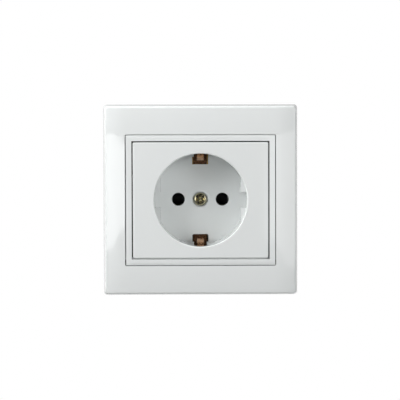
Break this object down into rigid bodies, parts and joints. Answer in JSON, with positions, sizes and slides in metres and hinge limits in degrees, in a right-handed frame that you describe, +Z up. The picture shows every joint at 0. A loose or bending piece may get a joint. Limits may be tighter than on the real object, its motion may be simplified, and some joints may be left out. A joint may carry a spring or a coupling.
{
  "type": "type f wall socket",
  "caption": "Flush wall socket: crowned cover frame, insert ring, round plug well with pin holes and side earth springs, central screw, and spreader claws on a steel plate.",
  "frame": {"origin": "middle of the wall surface that the cover frame lies against, on the axis of the plug well", "axes": "+Y into the wall, -Y out of the front, +Z up, +X to the right seen from the front"},
  "size_m": [0.0826, 0.0399, 0.0812],
  "materials": {
    "white_abs": "gloss",
    "base_thermoplastic": "satin",
    "yellow_zinc_steel": "satin",
    "zinc_plated_steel": "satin",
    "brass": "satin",
    "spring_bronze": "satin"
  },
  "bodies": {
    "socket": {"cover_frame": "white_abs", "insert_ring": "white_abs", "socket_cover": "white_abs", "base_body": "base_thermoplastic", "base_cap": "base_thermoplastic", "cover_screw": "yellow_zinc_steel", "support_plate": "zinc_plated_steel", "plate_rivets": "zinc_plated_steel", "cap_screws": "zinc_plated_steel", "earth_clamp": "zinc_plated_steel", "terminal_clamp_left": "zinc_plated_steel", "terminal_clamp_right": "zinc_plated_steel", "earth_screw": "zinc_plated_steel", "terminal_screw_left": "zinc_plated_steel", "terminal_screw_right": "zinc_plated_steel", "claw_pin_left": "zinc_plated_steel", "claw_pin_right": "zinc_plated_steel", "contact_left": "brass", "contact_right": "brass", "earth_terminal": "brass", "earth_rivet": "brass", "earth_strip": "spring_bronze"},
    "claw_left": {"claw_left": "zinc_plated_steel"},
    "claw_right": {"claw_right": "zinc_plated_steel"},
    "claw_screw_left": {"claw_screw_left": "zinc_plated_steel"},
    "claw_screw_right": {"claw_screw_right": "zinc_plated_steel"}
  },
  "joints": [
    {"name": "claw_screw_left_drive", "type": "slide", "parent": "socket", "child": "claw_screw_left", "axis": [0, 1, 0], "range_m": [0, 0.00115]},
    {"name": "claw_left_spread", "type": "hinge", "parent": "socket", "child": "claw_left", "pos_m": [-0.0276, 0.0026, 0], "axis": [0, 0, 1], "range_deg": [0, 20]},
    {"name": "claw_screw_right_drive", "type": "slide", "parent": "socket", "child": "claw_screw_right", "axis": [0, 1, 0], "range_m": [0, 0.00115]},
    {"name": "claw_right_spread", "type": "hinge", "parent": "socket", "child": "claw_right", "pos_m": [0.0276, 0.0026, 0], "axis": [0, 0, -1], "range_deg": [0, 20]}
  ],
  "couplings": [
    {"joint": "claw_left_spread", "follows": "claw_screw_left_drive", "rad_per_m": 303.54},
    {"joint": "claw_right_spread", "follows": "claw_screw_right_drive", "rad_per_m": 303.54}
  ]
}
